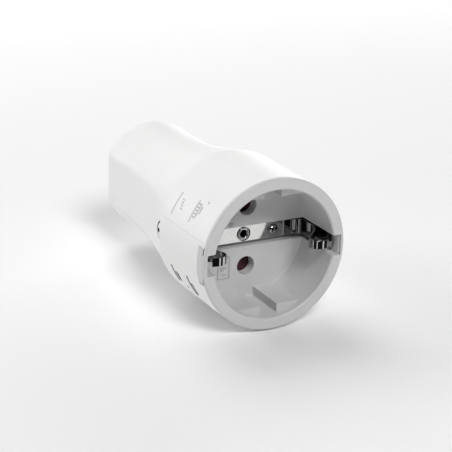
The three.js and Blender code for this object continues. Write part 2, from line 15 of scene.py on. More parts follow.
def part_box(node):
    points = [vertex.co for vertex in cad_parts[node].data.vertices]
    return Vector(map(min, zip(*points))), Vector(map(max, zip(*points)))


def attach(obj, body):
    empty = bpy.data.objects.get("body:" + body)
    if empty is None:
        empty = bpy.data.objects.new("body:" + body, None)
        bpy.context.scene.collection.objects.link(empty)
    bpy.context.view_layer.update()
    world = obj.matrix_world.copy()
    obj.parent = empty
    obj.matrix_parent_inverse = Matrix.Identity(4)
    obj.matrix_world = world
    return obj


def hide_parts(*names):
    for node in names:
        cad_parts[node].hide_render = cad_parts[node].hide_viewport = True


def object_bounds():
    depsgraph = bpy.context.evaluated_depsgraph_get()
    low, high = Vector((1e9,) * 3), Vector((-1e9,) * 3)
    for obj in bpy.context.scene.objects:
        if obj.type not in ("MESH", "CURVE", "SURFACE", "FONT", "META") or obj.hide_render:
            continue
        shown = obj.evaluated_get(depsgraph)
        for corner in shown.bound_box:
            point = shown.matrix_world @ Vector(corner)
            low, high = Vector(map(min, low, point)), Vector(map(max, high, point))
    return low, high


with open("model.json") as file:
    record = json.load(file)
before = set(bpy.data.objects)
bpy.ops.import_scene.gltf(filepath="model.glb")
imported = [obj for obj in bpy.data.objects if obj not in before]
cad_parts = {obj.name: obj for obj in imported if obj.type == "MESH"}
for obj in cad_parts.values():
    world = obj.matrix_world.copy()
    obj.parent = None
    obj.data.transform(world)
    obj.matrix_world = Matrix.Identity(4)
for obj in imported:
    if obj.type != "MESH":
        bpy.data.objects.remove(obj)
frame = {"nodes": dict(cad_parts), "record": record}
CAD_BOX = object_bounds()

# ---- The frame's own sizes ----
MM = 0.001
RIM_Y = CAD_BOX[0].y
AXIS_Z = sum(corner.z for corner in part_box("centre_rivet")) / 2
LENGTH = (CAD_BOX[1].y - CAD_BOX[0].y) / MM
SLEEVE_RADIUS = AXIS_Z / MM

FULL_TURN = 2 * math.pi
QUARTER_TURN = math.pi / 2


def place(x, y, z):
    """A point in millimetres about the body's axis, in the frame's metres."""
    return Vector((x * MM, RIM_Y + y * MM, AXIS_Z + z * MM))


def direction(azimuth, rise):
    """The unit vector at azimuth degrees from +Y towards +X, and rise degrees up."""
    turn, tilt = math.radians(azimuth), math.radians(rise)
    return Vector((math.sin(turn) * math.cos(tilt), math.cos(turn) * math.cos(tilt), math.sin(tilt)))


def full_circle(steps):
    """Evenly spaced angles round a full turn."""
    return [FULL_TURN * i / steps for i in range(steps)]


def evenly(low, high, steps):
    """Evenly spaced values from low to high, both included."""
    return [low + (high - low) * i / steps for i in range(steps + 1)]


# ---- Camera ----
CAMERA_PLACE = Vector((-0.1791, -0.3425, 0.1587))
CAMERA_AZIMUTH = 28.52
CAMERA_DIP = 19.98  # degrees below the horizon
CAMERA_ROLL = 1.8
CAMERA_LENS = 103.5
CAMERA_SENSOR = 36
CAMERA_NEAR, CAMERA_FAR = 0.02, 20


def make_camera():
    data = bpy.data.cameras.new("camera")
    data.lens = CAMERA_LENS
    data.sensor_width = CAMERA_SENSOR
    data.clip_start = CAMERA_NEAR
    data.clip_end = CAMERA_FAR
    camera = bpy.data.objects.new("camera", data)
    bpy.context.scene.collection.objects.link(camera)
    aim = direction(CAMERA_AZIMUTH, -CAMERA_DIP).to_track_quat("-Z", "Y").to_matrix()
    aim = aim @ Matrix.Rotation(math.radians(CAMERA_ROLL), 3, "Z")
    camera.matrix_world = Matrix.Translation(CAMERA_PLACE) @ aim.to_4x4()
    bpy.context.scene.camera = camera


make_camera()


# ---- Mesh helpers ----
def new_object(name, bm):
    mesh = bpy.data.meshes.new(name)
    bmesh.ops.recalc_face_normals(bm, faces=bm.faces)
    bm.to_mesh(mesh)
    bm.free()
    obj = bpy.data.objects.new(name, mesh)
    bpy.context.scene.collection.objects.link(obj)
    return obj


def add_skin(bm, rings, loop=False):
    """Adds a skin over a stack of rings, capped at both ends or joined into a loop."""
    rows = [[bm.verts.new(point) for point in ring] for ring in rings]
    count = len(rows[0])
    pairs = list(zip(rows, rows[1:]))
    if loop:
        pairs.append((rows[-1], rows[0]))
    for low, high in pairs:
        for i in range(count):
            j = (i + 1) % count
            bm.faces.new((low[i], low[j], high[j], high[i]))
    if not loop:
        bm.faces.new(rows[0])
        bm.faces.new(rows[-1])


def rings_mesh(name, rings, loop=False):
    bm = bmesh.new()
    add_skin(bm, rings, loop)
    return new_object(name, bm)


def turned(name, corners, steps, centre=(0, 0), loop=False):
    """A solid of revolution along y from (radius, y) corners, about the line x, z = centre."""
    rings = []
    for radius, y in corners:
        rings.append([
            place(centre[0] + radius * math.cos(angle), y, centre[1] + radius * math.sin(angle))
            for angle in full_circle(steps)])
    return rings_mesh(name, rings, loop)


def cylinder(name, radius, start, end, steps, centre=(0, 0)):
    """A round tool from y = start to y = end."""
    return turned(name, [(radius, start), (radius, end)], steps, centre)


def add_box(bm, low, high):
    corner, size = place(*low), place(*high) - place(*low)
    for vert in bmesh.ops.create_cube(bm, size=1)["verts"]:
        vert.co = Vector([corner[k] + (vert.co[k] + 0.5) * size[k] for k in range(3)])


def block(name, low, high):
    bm = bmesh.new()
    add_box(bm, low, high)
    return new_object(name, bm)


def arc(centre, radius, start, end, steps):
    """Points on an arc in the (radius, y) plane, with angles in degrees."""
    angles = [math.radians(angle) for angle in evenly(start, end, steps)]
    return [(centre[0] + radius * math.cos(a), centre[1] + radius * math.sin(a)) for a in angles]


def bake_modifiers(obj):
    """Puts what the modifiers make into the mesh itself."""
    graph = bpy.context.evaluated_depsgraph_get()
    mesh = bpy.data.meshes.new_from_object(obj.evaluated_get(graph))
    obj.modifiers.clear()
    obj.data = mesh
    return obj


def boolean(base, tool, operation="DIFFERENCE"):
    modifier = base.modifiers.new("cut", "BOOLEAN")
    modifier.operation = operation
    modifier.object = tool
    modifier.solver = "EXACT"
    bake_modifiers(base)
    bpy.data.objects.remove(tool)
    return base


def round_edges(obj, width, angle=35):
    """Rounds the edges that turn more than angle degrees."""
    modifier = obj.modifiers.new("edge", "BEVEL")
    modifier.width = width * MM
    modifier.segments = 2
    modifier.limit_method = "ANGLE"
    modifier.angle_limit = math.radians(angle)
    modifier.use_clamp_overlap = True
    return bake_modifiers(obj)


def shade(obj, angle=30):
    """Smooth shading, broken at edges that turn more than angle degrees."""
    bm = bmesh.new()
    bm.from_mesh(obj.data)
    limit = math.radians(angle)
    for edge in bm.edges:
        edge.smooth = len(edge.link_faces) == 2 and edge.calc_face_angle(0) < limit
    for face in bm.faces:
        face.smooth = True
    bm.to_mesh(obj.data)
    bm.free()
    weighted = obj.modifiers.new("flat_faces_stay_flat", "WEIGHTED_NORMAL")
    weighted.keep_sharp = True
    weighted.weight = 100
    return bake_modifiers(obj)


# ---- Materials ----
def set_inputs(node, values):
    for socket, value in values.items():
        node.inputs[socket].default_value = value


def set_stops(ramp, stops):
    """Sets a colour ramp from (position, grey or colour) stops."""
    elements = ramp.color_ramp.elements
    while len(elements) < len(stops):
        elements.new(0.5)
    for element, (position, value) in zip(elements, stops):
        element.position = position
        colour = value if isinstance(value, (tuple, list)) else (value,) * 3
        element.color = (*colour[:3], 1)


class MaterialNodes:
    """A new material's node tree, with short calls to build it."""

    def __init__(self, name):
        self.material = bpy.data.materials.new(name)
        self.material.use_nodes = True
        self.tree = self.material.node_tree
        self.shader = self.tree.nodes["Principled BSDF"]
        self.coords = self.tree.nodes.new("ShaderNodeTexCoord").outputs["Object"]

    def add(self, kind, inputs):
        node = self.tree.nodes.new(kind)
        set_inputs(node, inputs)
        return node

    def link(self, source, target):
        self.tree.links.new(source, target)

    def feed(self, socket, source):
        """Feeds one of the shader's sockets."""
        self.link(source, self.shader.inputs[socket])

    def mapped(self, inputs):
        """The object's coordinates, turned or stretched."""
        mapping = self.add("ShaderNodeMapping", inputs)
        self.link(self.coords, mapping.inputs["Vector"])
        return mapping.outputs["Vector"]

    def noise(self, scale, detail, roughness=0.5, stretch=None):
        node = self.add("ShaderNodeTexNoise", {
            "Scale": scale, "Detail": detail, "Roughness": roughness})
        vector = self.mapped({"Scale": stretch}) if stretch else self.coords
        self.link(vector, node.inputs["Vector"])
        return node.outputs["Fac"]

    def ramp(self, source, *stops):
        node = self.tree.nodes.new("ShaderNodeValToRGB")
        set_stops(node, stops)
        self.link(source, node.inputs["Fac"])
        return node.outputs["Color"]

    def bump(self, source, strength, distance, below=None):
        node = self.add("ShaderNodeBump", {"Strength": strength, "Distance": distance})
        self.link(source, node.inputs["Height"])
        if below is not None:
            self.link(below, node.inputs["Normal"])
        return node.outputs["Normal"]


def scaled(colour, factor):
    return tuple(min(c * factor, 1) for c in colour[:3])


def plastic(name, colour, roughness=0.4, variation=0.02, grain=0.05, specular=0.5):
    """Moulded plastic: cloudy tone, fine spark-eroded grain and slightly uneven gloss."""
    nodes = MaterialNodes(name)
    tone = nodes.ramp(nodes.noise(140, 3), (0.3, scaled(colour, 1 - variation)), (0.7, colour))
    nodes.feed("Base Color", tone)
    gloss = nodes.ramp(nodes.noise(900, 2), (0.3, roughness - 0.03), (0.7, roughness + 0.04))
    nodes.feed("Roughness", gloss)
    fine = nodes.bump(nodes.noise(7000, 2), grain, 0.00006)
    wave = nodes.bump(nodes.noise(160, 1), 0.06, 0.0003, fine)
    nodes.feed("Normal", wave)
    set_inputs(nodes.shader, {"Specular IOR Level": specular})
    return nodes.material


def metal(name, colour, roughness, grain=(1, 1, 1), variation=0.12):
    """Stamped or plated metal: drawn grain, faint stains and uneven polish."""
    nodes = MaterialNodes(name)
    set_inputs(nodes.shader, {"Metallic": 1})
    stain = nodes.noise(420, 4, 0.6)
    nodes.feed("Base Color", nodes.ramp(
        stain, (0.3, scaled(colour, 1 - variation)), (0.75, colour)))
    drawn = nodes.noise(1500, 3, 0.6, grain)
    nodes.feed("Roughness", nodes.ramp(drawn, (0.3, roughness * 0.7), (0.7, roughness * 1.4)))
    nodes.feed("Normal", nodes.bump(drawn, 0.05, 0.00004))
    return nodes.material


def board_material(name, colour):
    """Solder mask with fine lighter tracks in it."""
    nodes = MaterialNodes(name)
    tracks = nodes.add("ShaderNodeTexBrick", {
        "Scale": 260,
        "Mortar Size": 0.02,
        "Color1": (*scaled(colour, 0.85), 1),
        "Color2": (*colour, 1),
        "Mortar": (*scaled(colour, 1.7), 1),
    })
    nodes.link(nodes.mapped({"Rotation": (0, QUARTER_TURN, 0)}), tracks.inputs["Vector"])
    nodes.feed("Base Color", tracks.outputs["Color"])
    nodes.feed("Normal", nodes.bump(tracks.outputs["Fac"], 0.2, 0.00005))
    set_inputs(nodes.shader, {"Roughness": 0.35})
    return nodes.material


SHELL_WHITE = (0.86, 0.86, 0.855)
# The insert's white is set greyer than the shell's: painted shade of the recess.
INSERT_SHADED_WHITE = (0.65, 0.65, 0.648)
# The hooks' grey is a darker copy of the white plastic: painted shade of the window band.
HOOK_SHADE_GREY = (0.7, 0.7, 0.698)
NICKEL = (0.42, 0.42, 0.415)
DRAWN_ALONG_X = (0.2, 1, 1)
DRAWN_ALONG_Z = (1, 1, 0.2)
GLOSSY_SLOTS = {"capacitor_yellow", "can_sleeve", "varistor_blue", "fuse_ceramic"}


def make_materials():
    """The looks by name. A record slot with no look of its own gets a plain plastic one."""
    made = {
        "white_plastic": plastic("white_plastic", SHELL_WHITE, 0.5, 0.015, 0.06, 0.3),
        "insert_plastic": plastic("insert_plastic", INSERT_SHADED_WHITE, 0.45, 0.02, 0.05, 0.35),
        # A darker plastic for the hooks: painted shade of the window band.
        "hook_plastic": plastic("hook_plastic", HOOK_SHADE_GREY, 0.5, 0.03, 0.05, 0.3),
        # The shutter's red is painted down to the dark maroon of its shade in the pin holes.
        "shutter_plastic": plastic("shutter_plastic", (0.055, 0.007, 0.013), 0.4, 0.25),
        "nickel": metal("nickel", NICKEL, 0.06, DRAWN_ALONG_X),
        "leg_nickel": metal("leg_nickel", NICKEL, 0.12, DRAWN_ALONG_Z),
        # A darker copy of the nickel for the clips and the doubled ends: painted dark reflection.
        "dark_nickel": metal("dark_nickel", (0.3, 0.3, 0.295), 0.05, DRAWN_ALONG_Z),
        "brass": metal("brass", (0.78, 0.58, 0.26), 0.22),
        "steel": metal("steel", (0.62, 0.63, 0.64), 0.25),
        "board_green": board_material("board_green", (0.02, 0.17, 0.07)),
        "rubber": plastic("rubber", (0.035, 0.035, 0.038), 0.7, 0.3, 0.15, 0.3),
        # Black for the pieces put in gaps that are only shade: painted shadow.
        "gap_black": plastic("gap_black", (0.012, 0.012, 0.013), 0.8, 0.4, 0.1, 0.1),
        "label_film": plastic("label_film", (0.55, 0.555, 0.56), 0.5, 0.06),
        "mark_grey": plastic("mark_grey", (0.52, 0.52, 0.525), 0.5, 0.1),
        # Black for the lower marks, darker than the upper marks' grey: painted shade of lines seen at
        # a grazing angle.
        "mark_dark": plastic("mark_dark", (0.05, 0.05, 0.052), 0.5, 0.1),
    }
    for row in frame["record"]["materials"]:
        slot = row["slot"]
        if slot not in made:
            made[slot] = plastic(slot, row["base_color"], 0.25 if slot in GLOSSY_SLOTS else 0.5, 0.12)
    return made


MATERIALS = make_materials()


def paint_cad_nodes():
    """Gives each CAD node the look of its own material slot."""
    for row in frame["record"]["subparts"]:
        materials = frame["nodes"][row["node"]].data.materials
        materials.clear()
        materials.append(MATERIALS[row["material_slot"]])


def finish_piece(obj, look, body, slot, *replaced):
    """Gives a piece its look and body, and hides the CAD nodes that it replaces. The slot is not used.
    """
    obj.data.materials.clear()
    obj.data.materials.append(MATERIALS[look])
    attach(obj, body)
    if replaced:
        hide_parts(*replaced)


paint_cad_nodes()

# ---- Housing: the same form as the CAD shell, drawn finely ----
FRONT_RADIUS = 23.2
SLEEVE_END = 29.5
NECK_Y = 70
NECK_RADIUS = 17.85
GRIP_SWELL = 0.4
FLARE_POWER = 1.85
EDGE_SPREAD = (-0.9, -0.45, 0, 0.45, 0.9)  # offsets averaged to soften the sleeve's back edge
FLAT_HALF_WIDTH = 8.3
FLAT_NOSE_Y = 41
FLAT_NOSE_LENGTH = 12
FLAT_SOFTNESS = 0.25
FLAT_MARGIN = 0.6  # how far the close points reach past a flat
CLOSE_HALF_WIDTH = 5  # the least half width of the close points
FRONT_FILLET = 0.25
BACK_FILLET = 3
SKIN_INSET = 0.08  # keeps the round skin inside the CAD's box
SHELL_WALL = 1.4
SHELL_BORE = 22.2  # round the insert
INLET_RADIUS = 6.3
RIM_FLANGE = 1
SHELL_FRONT = RIM_FLANGE + 0.3
HOOK_LOW, HOOK_HIGH = -6.4, 4.9  # the snap hooks' ends along z
HOOK_GAP = 0.12
WINDOW_LENGTH = 3.1
OUTSIDE = 30  # beyond the body's surface
RING_STEP, FINE_RING_STEP = 0.8, 0.35

SEAM_Z = 6.1
SEAM_DEPTH = 0.14
SEAM_FLARE = 0.16

PAD_RADIUS = 3.04
PAD_TOP = 21.5
PAD_HEIGHT = 1.1
PAD_EDGE = 0.16
PAD_Y = 31.2
PAD_Z = -0.4
TOOL_SLOT_WIDTH = 1.2
TOOL_SLOT_LENGTH = 2.85
TOOL_SLOT_BOTTOM = 17
GROOVE_WIDTH = 0.36
GROOVE_FLOOR = 20.2
GROOVE_STEPS = 40
GROOVE_TAPER = 8  # steps over which the groove narrows at each end
SHADOW_FILL_OVERLAP = 0.02  # leaves no gap beside the painted shadow fill
SHADOW_FILL_FLOOR = 20.3
SLOT_SHADOW_FILL_BOTTOM = 19.8
# Distance along the tool slot, and the height there of the painted shadow fill
SLOT_SHADOW_FILL = ((0.05, 21.98), (1.4, 21.62), (2.8, PAD_TOP - 0.01))


def plain_radius(y):
    if y <= SLEEVE_END:
        return FRONT_RADIUS + (SLEEVE_RADIUS - FRONT_RADIUS) * (y / SLEEVE_END)
    flare = max(1 - (y - SLEEVE_END) / (NECK_Y - SLEEVE_END), 0) ** FLARE_POWER
    swell = (max(y - NECK_Y, 0) / (LENGTH - NECK_Y)) ** 2
    return NECK_RADIUS + (SLEEVE_RADIUS - NECK_RADIUS) * flare + GRIP_SWELL * swell


def body_radius(y):
    """The form's radius with the sleeve's back edge softened."""
    average = sum(plain_radius(y + offset) for offset in EDGE_SPREAD) / len(EDGE_SPREAD)
    return min(average, plain_radius(y)) - SKIN_INSET


def flat_half_width(y):
    ahead = min(max(FLAT_NOSE_Y - y, 0) / FLAT_NOSE_LENGTH, 1)
    return FLAT_HALF_WIDTH * (1 - ahead ** 4) ** 0.25


def ring_angles(radius, half_width):
    """Angles round the body, closer together across each flat and a little past it."""
    flat_steps, arc_steps = 26, 94
    edge = math.asin(max(half_width + FLAT_MARGIN, CLOSE_HALF_WIDTH) / radius)
    span = math.pi - 2 * edge
    angles = []
    for side in (0, math.pi):
        angles += [side - edge + 2 * edge * i / flat_steps for i in range(flat_steps)]
        angles += [side + edge + span * i / arc_steps for i in range(arc_steps)]
    return angles


def body_ring(y, inset):
    """The body's outline at y, moved inwards by inset: a circle with a soft flat on each side."""
    radius = body_radius(y)
    flat = math.sqrt(radius ** 2 - flat_half_width(y) ** 2)
    soft = FLAT_SOFTNESS * (radius - flat)
    ring = []
    for angle in ring_angles(radius, flat_half_width(y)):
        x, z = radius * math.cos(angle), radius * math.sin(angle)
        reach = (abs(x) + flat - math.hypot(abs(x) - flat, soft)) / 2  # a soft minimum
        length = math.hypot(reach, z)
        shrink = (length - inset) / length
        ring.append(place(math.copysign(reach, x) * shrink, y, z * shrink))
    return ring


def housing_rings():
    """The shell's outside from its front edge to its back face."""
    front = [body_ring(SHELL_FRONT + FRONT_FILLET * (1 - math.cos(angle)),
                       FRONT_FILLET * (1 - math.sin(angle)))
             for angle in evenly(0, QUARTER_TURN, 5)[:-1]]
    outer = []
    y = SHELL_FRONT + FRONT_FILLET
    while y < LENGTH - BACK_FILLET - 0.3:
        outer.append(body_ring(y, 0))
        near_edge = SLEEVE_END - 1.5 < y < SLEEVE_END + 2.5
        y += FINE_RING_STEP if near_edge else RING_STEP
    back = [body_ring(LENGTH - BACK_FILLET * (1 - math.sin(angle)),
                      BACK_FILLET * (1 - math.cos(angle)))
            for angle in evenly(0, QUARTER_TURN, 12)]
    return front + outer + back


def seam_groove(side):
    """A fine straight groove along the sleeve, from the window to the sleeve's back edge."""
    section = ((-SEAM_DEPTH, 0), (0.3, -SEAM_FLARE), (0.3, SEAM_FLARE))
    rings = []
    for y in (SHELL_FRONT + 1, 12, 20, SLEEVE_END - 1.2):
        radius = body_radius(y)
        angle = math.asin(SEAM_Z / radius)
        rings.append([place(side * (radius + reach) * math.cos(angle + shift / radius), y,
                            (radius + reach) * math.sin(angle + shift / radius))
                      for reach, shift in section])
    return rings_mesh("seam", rings)


def pad_point(side, x, radius, angle):
    """A point at a radius and an angle from the pad's centre, at height x on its side."""
    return place(side * x, PAD_Y + radius * math.cos(angle), PAD_Z + radius * math.sin(angle))


def release_pad(side):
    """A round pad standing proud of the flat, with its edge rounded over."""
    outline = [(PAD_RADIUS, PAD_TOP - PAD_HEIGHT), (PAD_RADIUS, PAD_TOP - PAD_EDGE)]
    outline += arc((PAD_RADIUS - PAD_EDGE, PAD_TOP - PAD_EDGE), PAD_EDGE, 22.5, 90, 3)
    rings = [[pad_point(side, x, radius, angle) for angle in full_circle(72)]
             for radius, x in outline]
    return rings_mesh("pad", rings)


def groove_width(step):
    """The groove's width at a step round its arc, narrowing at both ends."""
    from_middle = abs(step - GROOVE_STEPS / 2)
    return GROOVE_WIDTH * min(1, (GROOVE_STEPS + 1 - from_middle * 2) / GROOVE_TAPER)


def pad_groove(side):
    """The narrow gap round the back half of the pad."""
    rings = []
    for step, degrees in enumerate(evenly(-80, 80, GROOVE_STEPS)):
        outer = PAD_RADIUS + groove_width(step)
        section = ((PAD_RADIUS, GROOVE_FLOOR), (PAD_RADIUS, OUTSIDE), (outer, OUTSIDE),
                   (outer, GROOVE_FLOOR))
        rings.append([pad_point(side, x, radius, math.radians(degrees)) for radius, x in section])
    return rings_mesh("pad_groove", rings)


def tool_slot(side):
    """The slot for a tool, from the pad's middle to its back."""
    return block("tool_slot", (side * TOOL_SLOT_BOTTOM, PAD_Y, PAD_Z - TOOL_SLOT_WIDTH / 2),
                 (side * OUTSIDE, PAD_Y + TOOL_SLOT_LENGTH, PAD_Z + TOOL_SLOT_WIDTH / 2))


def housing():
    """The white shell: bored, hollowed, and cut for the inlet, windows, seams and pads."""
    shell = rings_mesh("housing_skin", housing_rings())
    boolean(shell, turned("bore", [(SHELL_BORE, y) for y in (-2, 10, 20, 27)], 240))
    hollow_stations = (26, SLEEVE_END, 33, 37, 42, 48, 56, 66, 76, LENGTH - 3)
    boolean(shell, rings_mesh("hollow", [body_ring(y, SHELL_WALL) for y in hollow_stations]))
    boolean(shell, cylinder("inlet", INLET_RADIUS, LENGTH - 5, LENGTH + 1, 96))
    boolean(shell, block("window", (-OUTSIDE, 0, HOOK_LOW - HOOK_GAP),
                         (OUTSIDE, SHELL_FRONT + WINDOW_LENGTH, HOOK_HIGH + HOOK_GAP)))
    for side in (-1, 1):
        boolean(shell, seam_groove(side))
        boolean(shell, release_pad(side), "UNION")
        boolean(shell, pad_groove(side))
        boolean(shell, tool_slot(side))
    finish_piece(shade(shell, 24), "white_plastic", "housing", "white_plastic", "housing_shell")


def pad_shadow_fill(side):
    """Painted shadow: a black filling in the gap round the back of the pad and in the pad's tool slot,
    where there is only shade.
    """
    bm = bmesh.new()
    inner = PAD_RADIUS - SHADOW_FILL_OVERLAP
    rings = []
    for step, degrees in enumerate(evenly(-76, 76, GROOVE_STEPS)):
        angle = math.radians(degrees)
        outer = PAD_RADIUS + groove_width(step) * (1 + 0.5 * math.sin(angle))
        section = ((inner, SHADOW_FILL_FLOOR), (inner, PAD_TOP - 0.02), (outer, PAD_TOP - 0.08),
                   (outer, SHADOW_FILL_FLOOR))
        rings.append([pad_point(side, x, radius, angle) for radius, x in section])
    add_skin(bm, rings)
    half = TOOL_SLOT_WIDTH / 2 + SHADOW_FILL_OVERLAP
    slot_rings = []
    for along, top in SLOT_SHADOW_FILL:
        slot_rings.append([place(side * x, PAD_Y + along, PAD_Z + z) for x, z in (
            (SLOT_SHADOW_FILL_BOTTOM, -half), (top, -half), (top, half), (SLOT_SHADOW_FILL_BOTTOM, half))])
    add_skin(bm, slot_rings)
    finish_piece(shade(new_object("pad_shadow_fill", bm)), "gap_black", "housing", "rubber")


# ---- Socket insert ----
RECESS_RADIUS = 19.65
RECESS_DEPTH = 17.5
RECESS_FILLET = 0.4
LEAD_IN = 0.4  # the chamfer into the recess
RIM_FILLET = 0.6
FLOOR_BACK = 21
CUP_RADIUS = 21.9
SKIRT_END = 27
SKIRT_RADIUS = 20.6
ON_AXIS = 0.0001  # the radius where a looped profile runs along its axis
FINE_STEPS = 256
GUIDE_FLAT = 16.7
GUIDE_NOTCH = 5.6
GUIDE_FRONT = 3
GUIDE_ROOT = 0.8  # how far a rib reaches into the cup's wall
SLOT_WIDTH = 6.4
SLOT_BOTTOM = 22.1
CHANNEL_FLOOR = 20.3
PIN_HOLE_RADIUS = 2.95
PIN_PITCH = 19
SCREW_X = 9.9
RIVET_HOLE_RADIUS = 1.8
SCREW_HOLE_RADIUS = 1.5
HOLE_START, HOLE_END = 16, 23  # past both faces of the floor
HOOK_SECTION = [(22.55, 1.01), (22.55, 1.3), (23.12, 4.3), (21.95, 4.3), (21.95, 1.01)]
RELIEF_LENGTH = 2.1
RELIEF_BACK = 1.62
RELIEF_ROOT = 21.2


def cup_profile():
    """The insert's (radius, y) outline: recess, rim, cup wall, skirt and back."""
    floor_edge = RECESS_RADIUS - RECESS_FILLET
    profile = [(ON_AXIS, RECESS_DEPTH), (floor_edge, RECESS_DEPTH)]
    profile += arc((floor_edge, RECESS_DEPTH - RECESS_FILLET), RECESS_FILLET, 90, 0, 4)
    profile += [(RECESS_RADIUS, y) for y in (12, 8, 4, 1.5, LEAD_IN)]
    profile += [(RECESS_RADIUS + LEAD_IN, 0)]
    profile += arc((FRONT_RADIUS - RIM_FILLET, RIM_FILLET), RIM_FILLET, 270, 360, 8)
    profile += [(FRONT_RADIUS, RIM_FLANGE), (CUP_RADIUS, RIM_FLANGE), (CUP_RADIUS, SKIRT_END),
                (SKIRT_RADIUS, SKIRT_END), (SKIRT_RADIUS, FLOOR_BACK), (ON_AXIS, FLOOR_BACK)]
    return profile


def guide_rib(side_x, side_z):
    """One of the four ribs at the top and bottom of the recess."""
    reach = math.sqrt(RECESS_RADIUS ** 2 - GUIDE_FLAT ** 2) + 1
    x = sorted((side_x * GUIDE_NOTCH / 2, side_x * reach))
    z = sorted((side_z * GUIDE_FLAT, side_z * (RECESS_RADIUS + 1.2)))
    rib = block("guide", (x[0], GUIDE_FRONT, z[0]), (x[1], RECESS_DEPTH + 1, z[1]))
    limit = cylinder("limit", RECESS_RADIUS + GUIDE_ROOT, 0, 22, FINE_STEPS)
    return boolean(rib, limit, "INTERSECT")


def insert():
    """The socket cup with its ribs, clip channel and holes."""
    cup = turned("socket_skin", cup_profile(), FINE_STEPS, loop=True)
    for side_x in (-1, 1):
        for side_z in (-1, 1):
            boolean(cup, guide_rib(side_x, side_z), "UNION")
    boolean(cup, block("channel", (-SLOT_BOTTOM, -1, -SLOT_WIDTH / 2),
                       (SLOT_BOTTOM, CHANNEL_FLOOR, SLOT_WIDTH / 2)))
    for radius, steps, centre in ((PIN_HOLE_RADIUS, 64, (0, -PIN_PITCH / 2)),
                                  (PIN_HOLE_RADIUS, 64, (0, PIN_PITCH / 2)),
                                  (RIVET_HOLE_RADIUS, 48, (0, 0)),
                                  (SCREW_HOLE_RADIUS, 48, (SCREW_X, 0))):
        boolean(cup, cylinder("hole", radius, HOLE_START, HOLE_END, steps, centre))
    round_edges(cup, 0.12, 40)
    finish_piece(shade(cup, 28), "insert_plastic", "housing", "insert_plastic", "socket_insert")


def hooks():
    """The snap hooks that fill the shell's windows, with a relief cut at each end."""
    bands = turned("hooks", HOOK_SECTION, FINE_STEPS, loop=True)
    boolean(bands, block("band", (-OUTSIDE, RIM_FLANGE - 0.2, HOOK_LOW), (OUTSIDE, 5, HOOK_HIGH)),
            "INTERSECT")
    for low, high in ((HOOK_LOW - 0.2, HOOK_LOW + RELIEF_LENGTH),
                      (HOOK_HIGH - RELIEF_LENGTH, HOOK_HIGH + 0.2)):
        for side in (-1, 1):
            x = sorted((side * RELIEF_ROOT, side * OUTSIDE))
            boolean(bands, block("relief", (x[0], RIM_FLANGE - 0.1, low), (x[1], RELIEF_BACK, high)))
    finish_piece(shade(bands, 28), "hook_plastic", "housing", "insert_plastic")


def relief_shadow_fill(side, low, high):
    """Painted shadow: a black block in the gap between a hook's end and the rim ring, where there is
    only shade.
    """
    front = RIM_FLANGE + 0.02
    section = ((22, front), (23.13, front), (23.08, RELIEF_BACK), (22, RELIEF_BACK))
    rings = [[place(side * math.sqrt(radius ** 2 - z ** 2), y, z) for radius, y in section]
             for z in evenly(low, high, 8)]
    finish_piece(shade(rings_mesh("relief_shadow_fill", rings)), "gap_black", "housing", "rubber")


housing()
insert()
hooks()
for end in (-1, 1):
    pad_shadow_fill(end)
    relief_shadow_fill(end, HOOK_LOW + 0.05, HOOK_LOW + RELIEF_LENGTH - 0.1)
    relief_shadow_fill(end, HOOK_HIGH - RELIEF_LENGTH + 0.1, HOOK_HIGH - 0.05)

# ---- Earth contact ----
STRIP_Y = 19.4  # the strip's front face
STRIP_HALF = 2.8
STRIP_THICKNESS = 0.6
CLIP_THICKNESS = 0.5
FOOT_START, FOOT_END = 13.8, 16.4  # the strip's doubled ends
FOOT_HALF = 2.6
FOOT_STARTS_PROUD, FOOT_ENDS_PROUD = 0.5, 0.38  # of the strip's face
BACK_LEG_X = 21.1
BACK_LEG_TOP = 3.4
BACK_LEG_HALF = 2.5
BACK_LEG_CORNER = 0.9
STRIP_RIVET_BORE, STRIP_RIVET_SEAT = 1.6, 2.28
STRIP_SCREW_BORE = 1.5
BORE_START, BORE_END = 17, 22  # past both faces of the strip
SEAT_DEPTH = 0.35
SCREW_HEAD = 1.75
SCREW_DOME = 1.15
SCREW_SHANK = 1.2
SCREW_END = 26.9

# x, y and width at each place along a clip, from its foot to its nose
CLIP = [(16.5, 18.85, 5), (18.2, 18.85, 5), (19.3, 17.95, 5), (19.8, 14.5, 5), (19.5, 11, 5),
        (17.8, 8.3, 4.6), (15.5, 6.4, 3.3), (14.3, 4.8, 2.7), (14.5, 3.4, 2.7), (15.5, 2.4, 2.7),
        (17.2, 2, 2.7), (19.3, 2.3, 2.7)]


def smooth_route(points, per_span=8):
    """Catmull-Rom through the points."""
    out = []
    ends = [points[0], *points, points[-1]]
    for a, b, c, d in zip(ends, ends[1:], ends[2:], ends[3:]):
        for k in range(per_span):
            t = k / per_span
            out.append(tuple(
                0.5 * (2 * b[m] + (c[m] - a[m]) * t + (2 * a[m] - 5 * b[m] + 4 * c[m] - d[m]) * t * t
                       + (3 * b[m] - a[m] - 3 * c[m] + d[m]) * t ** 3) for m in range(len(b))))
    out.append(points[-1])
    return out


def strip_section(width):
    """The clip's rounded section, as (through its thickness, along z) points."""
    corner = 0.32 * CLIP_THICKNESS
    outline = []
    for side_t, side_z, start in ((1, 1, 0), (-1, 1, 90), (-1, -1, 180), (1, -1, 270)):
        for degrees in evenly(start, start + 90, 3):
            angle = math.radians(degrees)
            outline.append((side_t * (CLIP_THICKNESS / 2 - corner) + corner * math.cos(angle),
                            side_z * (width / 2 - corner) + corner * math.sin(angle)))
    return outline


